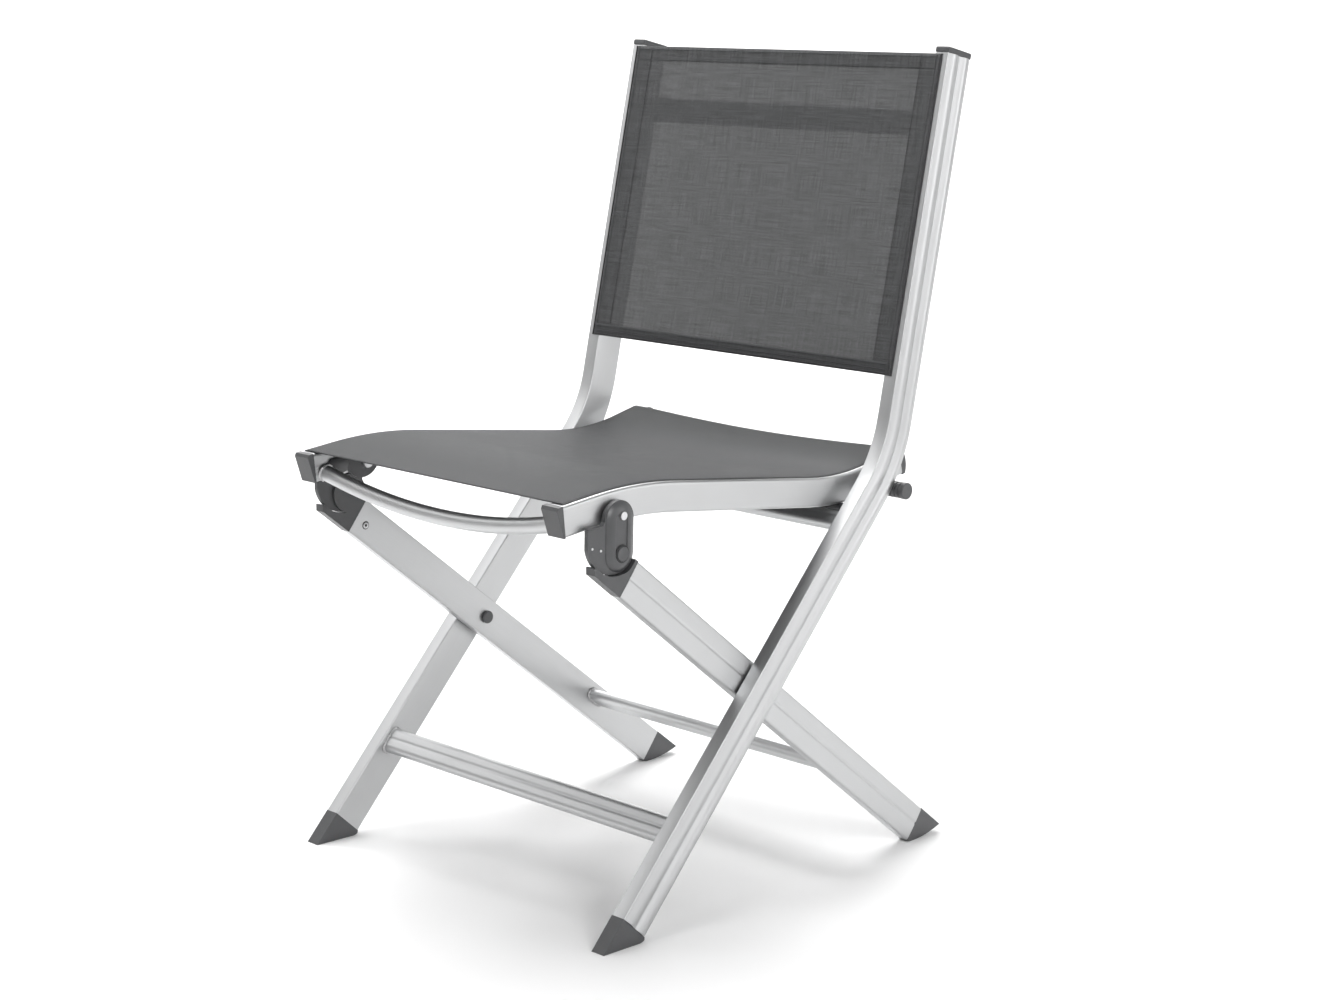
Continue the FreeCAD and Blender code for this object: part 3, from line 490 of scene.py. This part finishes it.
inset = np.linspace(0.2015, 0.2262, 10)
for side, sign in (("right", 1), ("left", -1)):
    band = on_back(sign * inset[None], heights[:, None], -0.0002)
    cloth(f"back_side_hem_{side}", band, 0.0007, shaded_hem_cloth, "frame")
width = np.linspace(-0.2262, 0.2262, 90)[None]
for name, low, high, proud_by in (("top", 0.4145, back_high, -0.0003), ("bottom", back_low, 0.0975, 0.0018)):
    band = on_back(width, np.linspace(low, high, 8)[:, None], proud_by)
    cloth(f"back_{name}_hem", band, 0.0008, shaded_hem_cloth, "frame")

# the hems are lock-stitched in pairs of rows, with thread in the cloth's colour
thread_material, tree, shader = new_material("polyester_thread", Roughness=0.55)
place = add_node(tree, "ShaderNodeTexCoord", output=3)
twist = add_node(tree, "ShaderNodeTexNoise", {"Vector": place, "Scale": 900.0, "Detail": 2.0})
shade = mix_colours(tree, twist, (0.02, 0.02, 0.022, 1.0), (0.09, 0.09, 0.095, 1.0))
tree.links.new(shade.socket, shader.inputs["Base Color"])


def stitches(name, starts, ends, normal, body):
    """One mesh of stitches: each is a thin six-sided tube that arches from hole to hole, r*sin(pi*t) high."""
    t = np.linspace(0, 1, 5)
    turn = np.linspace(0, 2 * math.pi, 6, endpoint=False)
    way = (ends - starts) / np.linalg.norm(ends - starts, axis=1)[:, None]
    sideways = np.cross(way, normal)
    line = starts[:, None] + (ends - starts)[:, None] * t[None, :, None]
    line = line + normal * (0.0004 * np.sin(math.pi * t))[None, :, None]
    cosine, sine = np.cos(turn)[:, None, None, None], np.sin(turn)[:, None, None, None]
    ring = 0.00028 * (cosine * sideways[:, None] + sine * normal)
    points = line[:, :, None] + np.moveaxis(ring, 0, 2)
    count = len(starts)
    index = np.arange(count * 30).reshape(count, 5, 6)
    index = np.concatenate([index, index[:, :, :1]], 2)
    quads = np.stack([index[:, :-1, :-1], index[:, 1:, :-1], index[:, 1:, 1:], index[:, :-1, 1:]], -1)
    mesh = bpy.data.meshes.new(name)
    mesh.from_pydata(points.reshape(-1, 3).tolist(), [], quads.reshape(-1, 4).tolist())
    mesh.polygons.foreach_set("use_smooth", np.ones(len(mesh.polygons), bool))
    piece = bpy.data.objects.new(name, mesh)
    bpy.context.scene.collection.objects.link(piece)
    mesh.materials.append(thread_material)
    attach(piece, body)
    return piece


forward = np.array([0.0, -back_rear[0], -back_rear[1]])
place = np.arange(0.086, 0.430, 0.0030)
for side, sign in (("right", 1), ("left", -1)):
    rows = [sign * 0.2030, sign * 0.2240]
    starts = np.concatenate([on_back(row, place, 0.0014) for row in rows])
    finish = np.concatenate([on_back(row, place + 0.0024, 0.0014) for row in rows])
    stitches(f"back_side_stitches_{side}", starts, finish, forward, "frame")
place = np.arange(-0.224, 0.2205, 0.0030)
for name, rows, proud_by in (("top", (0.4160, 0.4285), 0.0014), ("bottom", (0.0860, 0.0900, 0.0955), 0.0024)):
    starts = np.concatenate([on_back(place, row, proud_by) for row in rows])
    finish = np.concatenate([on_back(place + 0.0024, row, proud_by) for row in rows])
    stitches(f"back_{name}_stitches", starts, finish, forward, "frame")

# ---- Seat sling ---------------------------------------------------------------------------------------
# The same cloth follows the rails' curve. Its top looks lighter grey from the light that falls on it, and its
# copy of the cloth is set darker than the back's, painted shade against that light. Between the rails it dips
# by a few millimetres, less at the front edge, and at the sides it rolls over the rails' crowned tops into
# their channels.

path, direction = rail_path
run = np.concatenate([[0], np.cumsum(np.linalg.norm(np.diff(path, axis=0), axis=1))])
keep = (run > 0.0012) & (run < run[-1] - 0.006)
path, direction, run = path[keep], direction[keep], run[keep]
rear = np.stack([direction[:, 1], -direction[:, 0]], 1)


def on_seat(across, proud):
    """Points of the seat sling at every place along the rails: the dip is c*(1 - (x/w)^2)^1.2 * f(run)."""
    across, proud = np.broadcast_arrays(across, proud)
    share = (run - run[0]) / (run[-1] - run[0])
    amount = 0.0055 * np.clip(share / 0.35, 0, 1) ** 1.5
    dip = amount[:, None] * np.clip(1 - (across / 0.181) ** 2, 0, 1)[None] ** 1.2
    lift = proud[None] - dip
    yz = path[:, None] - rear[:, None] * lift[..., None]
    x = np.broadcast_to(across[None, :, None], (len(run), len(across), 1))
    return np.concatenate([x, yz], 2)


x, proud = turned_edges(0.1992, 0.0036, 0.1968, 90)
seat_sheet = cloth("seat_sling_mesh", on_seat(x, proud), 0.0008, shaded_seat_cloth, "seat")
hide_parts("seat_sling")

# dark cord plastic; the same colour also makes the dark rings and discs below that are painted shade
cord_and_shade_material, tree, shader = new_material("cord_plastic", Roughness=0.5)
place = add_node(tree, "ShaderNodeTexCoord", output=3)
grain = add_node(tree, "ShaderNodeTexNoise", {"Vector": place, "Scale": 600.0, "Detail": 2.0})
shade = mix_colours(tree, grain, (0.012, 0.012, 0.013, 1.0), (0.03, 0.03, 0.032, 1.0))
tree.links.new(shade.socket, shader.inputs["Base Color"])
turn = np.linspace(0, 2 * math.pi, 12, endpoint=False)
for side, sign in (("right", 1), ("left", -1)):
    ring_x = sign * (0.2297 + 0.0011 * np.cos(turn))
    ring_up = np.linspace(back_low, back_high, 60)
    cord = on_back(ring_x[None], ring_up[:, None], (0.0002 + 0.0011 * np.sin(turn))[None])
    piece = surface(f"back_keder_{side}", cord, cord_and_shade_material, "frame")
    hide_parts(f"back_cord_{side}")
    cord = on_seat(sign * (0.2000 + 0.0010 * np.cos(turn)), 0.0001 + 0.0010 * np.sin(turn))
    piece = surface(f"seat_keder_{side}", cord, cord_and_shade_material, "seat")
    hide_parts(f"seat_cord_{side}")

# ---- Plastic and steel fittings -----------------------------------------------------------------------
# Caps, feet, leg plugs, hinge brackets and rollers are glass-filled nylon with a fine moulded grain. The
# pivots are zinc-plated steel.

nylon, tree, shader = new_material("anthracite_nylon", Metallic=0.0, Specular_IOR_Level=0.65)
place = add_node(tree, "ShaderNodeTexCoord", output=3)
grain = add_node(tree, "ShaderNodeTexNoise", {"Vector": place, "Scale": 1500.0, "Detail": 2.0})
cloud = add_node(tree, "ShaderNodeTexNoise", {"Vector": place, "Scale": 60.0, "Detail": 3.0})
shade = mix_colours(tree, grain * 0.5 + cloud * 0.5, (0.036, 0.037, 0.039, 1.0), (0.078, 0.079, 0.083, 1.0))
tree.links.new(shade.socket, shader.inputs["Base Color"])
rough = 0.3 + grain * 0.14
tree.links.new(rough.socket, shader.inputs["Roughness"])
softened = add_node(tree, "ShaderNodeBevel", {"Radius": 0.0006}, samples=4)
bump_inputs = {"Height": grain, "Strength": 0.25, "Distance": 0.0002, "Normal": softened}
bump = add_node(tree, "ShaderNodeBump", bump_inputs)
tree.links.new(bump.socket, shader.inputs["Normal"])

steel, tree, shader = new_material("plated_steel", Metallic=1.0)
place = add_node(tree, "ShaderNodeTexCoord", output=3)
grain = add_node(tree, "ShaderNodeTexNoise", {"Vector": place, "Scale": 700.0, "Detail": 3.0})
shade = mix_colours(tree, grain, (0.55, 0.55, 0.56, 1.0), (0.78, 0.78, 0.79, 1.0))
tree.links.new(shade.socket, shader.inputs["Base Color"])
rough = 0.26 + grain * 0.16
tree.links.new(rough.socket, shader.inputs["Roughness"])

# ---- Hinges and rivets --------------------------------------------------------------------------------
# Each rear leg's top carries a nylon bracket with a moulded cover, which turns on a pin through the seat
# rail. A button-headed bolt and two small steel rivets hold the bracket's halves together.


def turned(name, centre, profile, sign, material, body):
    """A solid of revolution about a sideways axis. The profile is a list of (x, radius), and
    point(i, j) = (x_i, centre + radius_i * (cos, sin) of turn j)."""
    turn = np.linspace(0, 2 * math.pi, 40, endpoint=False)
    x, radius = np.array(profile, float).T
    grid = np.stack([
        sign * x[:, None] + 0 * turn,
        centre[0] - centre_y + radius[:, None] * np.cos(turn),
        centre[1] + radius[:, None] * np.sin(turn),
    ], 2)
    return surface(name, grid, material, body)


def moulded(outline, x, edge):
    """A thin moulding between sideways planes: the outline, shrunk towards its middle by `edge` at each
    plane, so that its rims are eased."""
    middle = outline.mean(0)
    rings = middle + (outline - middle) * np.array(edge)[:, None, None] - [centre_y, 0.0]
    across = np.broadcast_to(np.array(x)[:, None, None], (len(x), len(outline), 1))
    return np.concatenate([across, rings], 2)


# the cover's face is a stadium whose height falls from a ridge as 1 - ((r - 8.2) / 10.4)^2.2, with a flat
# recess inside the ridge
offset = 0.001 * np.array([18.6, 18.6, 18.3, 17.6, 16.6, 15.4, 14.0, 12.6, 11.2, 10.0, 9.0, 8.5, 8.2,
                           8.0, 7.8, 7.6, 4.0, 0.2])
crown = 0.2132 + 0.0038 * (1 - np.clip((offset - 0.0082) / 0.0104, 0, 1) ** 2.2)
face_x = np.where(offset < 0.00785, 0.2158, crown)
face_x[0], face_x[13], face_x[14] = 0.2130, 0.2168, 0.2161
turn = np.linspace(0, 2 * math.pi, 72, endpoint=False) + 0.01
cover = np.stack([
    face_x[:, None] + 0 * turn,
    0.0349 - centre_y + offset[:, None] * np.cos(turn),
    np.where(np.sin(turn) > 0, 0.4320, 0.3985) + offset[:, None] * np.sin(turn),
], 2)

# a lip closes the bracket's flange under the seat rail; a thin dark sheet on the front of the rail's inner
# face is painted shade and painted reflection, where the rail lies under the sling and mirrors its dark
# underside
lip_outline = rounded([[-0.0072, 0.4245], [0.0140, 0.4245], [0.0120, 0.4287], [-0.0072, 0.4279]], 0.0008)
lip = moulded(lip_outline, [0.2084, 0.2088, 0.2124, 0.2129], [0.93, 1.0, 1.0, 0.93])
shade_sheet_outline = rounded([[-0.0200, 0.4190], [0.0140, 0.4310], [0.0200, 0.4480], [-0.0120, 0.4440]], 0.0030)
shade_sheet = moulded(shade_sheet_outline, [0.1786, 0.1790, 0.1812, 0.1814], [0.96, 1.0, 1.0, 1.0])

# the bolt has a wide dished button, ringed by a dark annulus that is painted shade for the gap round it, and
# the flange's two rivets are nearly flush
button_at = (0.0363, 0.3985)
button_profile = [(0.2060, 0.0001), (0.2060, 0.0040), (0.2156, 0.0040), (0.2156, 0.0074), (0.2174, 0.0076),
                  (0.2180, 0.0073), (0.2181, 0.0068), (0.2176, 0.0050), (0.2174, 0.0002)]
gap_shade_profile = [(0.2154, 0.0075), (0.2168, 0.0077), (0.2172, 0.0080), (0.2172, 0.0089), (0.2168, 0.0093),
                  (0.2154, 0.0093)]
flange_rivets = {"front": (-0.0013, 0.4076), "rear": (0.0102, 0.4043)}
flange_rivet_profile = [(0.2128, 0.0014), (0.2134, 0.0013), (0.2137, 0.0009), (0.2138, 0.0002)]

# each leg plug is held by a hollow rivet with a rolled head; a dark disc in its hollow and a dark ring round
# its head are painted shade
rivet_at = pivot + np.array([centre_y, 0]) + leg_up * 0.222 - leg_rear * 0.003
head_profile = [(0.2050, 0.0036), (0.2045, 0.0036), (0.2042, 0.0031), (0.2042, 0.0019), (0.2046, 0.0017),
                (0.2049, 0.0001)]
hole_shade_profile = [(0.2048, 0.0015), (0.2043, 0.0015), (0.2042, 0.0002)]
rim_shade_profile = [(0.2050, 0.0037), (0.2048, 0.0038), (0.2048, 0.0044), (0.2050, 0.0046)]

for side, sign in (("right", 1), ("left", -1)):
    cover_grid, lip_grid, shade_sheet_grid = (grid if sign > 0 else mirrored(grid) for grid in (cover, lip, shade_sheet))
    shell = surface(f"hinge_cover_shell_{side}", cover_grid, nylon, "rear_legs")
    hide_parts(f"hinge_cover_{side}")
    button = turned(f"bracket_button_{side}", button_at, button_profile, sign, nylon, "rear_legs")
    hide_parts(f"bracket_bolt_{side}")
    # painted shade: a dark ring where the gap round the button lies in shadow
    turned(f"button_gap_shade_{side}", button_at, gap_shade_profile, sign, cord_and_shade_material, "rear_legs")
    for place, centre in flange_rivets.items():
        turned(f"flange_rivet_{place}_{side}", centre, flange_rivet_profile, sign, steel, "rear_legs")
    surface(f"bracket_lip_{side}", lip_grid, nylon, "rear_legs")
    # painted shade and reflection: a dark sheet where the rail's inner face is shaded by the sling and
    # mirrors it
    surface(f"rail_painted_shade_sheet_{side}", shade_sheet_grid, nylon, "seat")
    rivet = turned(f"plug_rivet_head_{side}", rivet_at, head_profile, sign, steel, "rear_legs")
    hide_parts(f"plug_rivet_{side}")
    # painted shade in the rivet's hollow
    turned(f"plug_rivet_hole_shade_{side}", rivet_at, hole_shade_profile, sign, cord_and_shade_material, "rear_legs")
    # painted shade: a dark ring round the rivet's head
    turned(f"plug_rivet_rim_shade_{side}", rivet_at, rim_shade_profile, sign, cord_and_shade_material, "rear_legs")

# every piece not replaced keeps its own shape, in its own material
plain_aluminium = anodised("tube_aluminium", (0.57, 0.575, 0.58, 1.0), "Object")
slots = {row["node"]: row["material_slot"] for row in frame["record"]["subparts"]}
finishes = {"anodised_aluminium": plain_aluminium, "anthracite_plastic": nylon, "steel": steel,
            "cord_plastic": cord_and_shade_material, "back_mesh": back_cloth, "seat_mesh": shaded_seat_cloth}
for name, node in frame["nodes"].items():
    node.data.materials.clear()
    finish = nylon if name.startswith("bracket_bolt") else finishes[slots[name]]
    node.data.materials.append(finish)

# ---- Studio -------------------------------------------------------------------------------------------
# A pale paper sweep all round, a soft light overhead that falls off away from the chair, two weaker ones
# from the right that light the extrusions' crowns, a fill from the left, and one on the sweep behind.

paper, tree, shader = new_material("studio_paper", Roughness=0.9)
place = add_node(tree, "ShaderNodeTexCoord", output=3)
fibre = add_node(tree, "ShaderNodeTexNoise", {"Vector": place, "Scale": 3.0, "Detail": 2.0})
shade = mix_colours(tree, fibre, (0.87, 0.87, 0.87, 1.0), (0.9, 0.9, 0.9, 1.0))
tree.links.new(shade.socket, shader.inputs["Base Color"])
angle = np.linspace(0, math.pi / 2, 24)
radius = np.concatenate([np.linspace(0.0004, 6.0, 16), 6.0 + 3.0 * np.sin(angle[1:]), [9.0]])
rise = np.concatenate([np.zeros(16), 3.0 - 3.0 * np.cos(angle[1:]), [7.0]])
around = np.linspace(0, 2 * math.pi, 97)
sweep = np.stack([
    radius[:, None] * np.cos(around),
    radius[:, None] * np.sin(around),
    rise[:, None] + 0 * around,
], 2)
index = np.arange(sweep.shape[0] * 97).reshape(-1, 97)
quads = np.stack([index[:-1, :-1], index[1:, :-1], index[1:, 1:], index[:-1, 1:]], -1).reshape(-1, 4)
mesh = bpy.data.meshes.new("studio_sweep")
mesh.from_pydata(sweep.reshape(-1, 3).tolist(), [], quads.tolist())
mesh.polygons.foreach_set("use_smooth", np.ones(len(mesh.polygons), bool))
mesh.materials.append(paper)
floor = bpy.data.objects.new("studio_sweep", mesh)
bpy.context.scene.collection.objects.link(floor)
floor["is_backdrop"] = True


def soft_light(name, place, target, size, power):
    """A square area light that faces the target."""
    lamp = bpy.data.lights.new(name, "AREA")
    lamp.size = size
    lamp.energy = power
    holder = bpy.data.objects.new(name, lamp)
    holder.location = place
    holder.rotation_euler = (Vector(target) - Vector(place)).to_track_quat("-Z", "Y").to_euler()
    holder.visible_camera = False
    bpy.context.scene.collection.objects.link(holder)


soft_light("key_light", (2.9, -0.9, 1.7), (0.0, 0.0, 0.45), 1.2, 42.0)
soft_light("top_light", (-0.5, -0.1, 2.7), (-0.1, 0.0, 0.3), 1.7, 56.0)
soft_light("side_light", (2.5, 1.5, 0.95), (0.0, 0.0, 0.55), 1.3, 12.0)
soft_light("fill_light", (-1.9, -1.0, 2.0), (0.0, -0.1, 0.2), 1.4, 9.0)
soft_light("backdrop_light", (-3.2, 3.4, 5.6), (-5.2, 5.4, 0.6), 4.0, 560.0)

world = bpy.data.worlds.new("studio")
world.use_nodes = True
background = next(n for n in world.node_tree.nodes if n.type == "BACKGROUND")
background.inputs["Color"].default_value = (1.0, 1.0, 1.0, 1.0)
background.inputs["Strength"].default_value = 0.25
bpy.context.scene.world = world
bpy.context.scene.view_settings.view_transform = "Standard"

# the camera stands to the front right, a little above the seat, and its three axes are unit vectors
lens = bpy.data.cameras.new("camera")
lens.sensor_width = 36.0
lens.lens = 66.594
lens.shift_x = 0.00431
lens.shift_y = -0.01076
right = Vector((0.71502682, 0.69876023, 0.02169753))
upward = Vector((-0.14008744, 0.11280347, 0.98369248))
towards = Vector((0.68491762, -0.70640606, 0.17854504))
facing = Matrix((right, upward, towards)).transposed().to_4x4()
camera = bpy.data.objects.new("camera", lens)
camera.matrix_world = Matrix.Translation((1.88599, -1.63307 - centre_y, 0.89554)) @ facing
bpy.context.scene.collection.objects.link(camera)
bpy.context.scene.camera = camera

low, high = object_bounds()
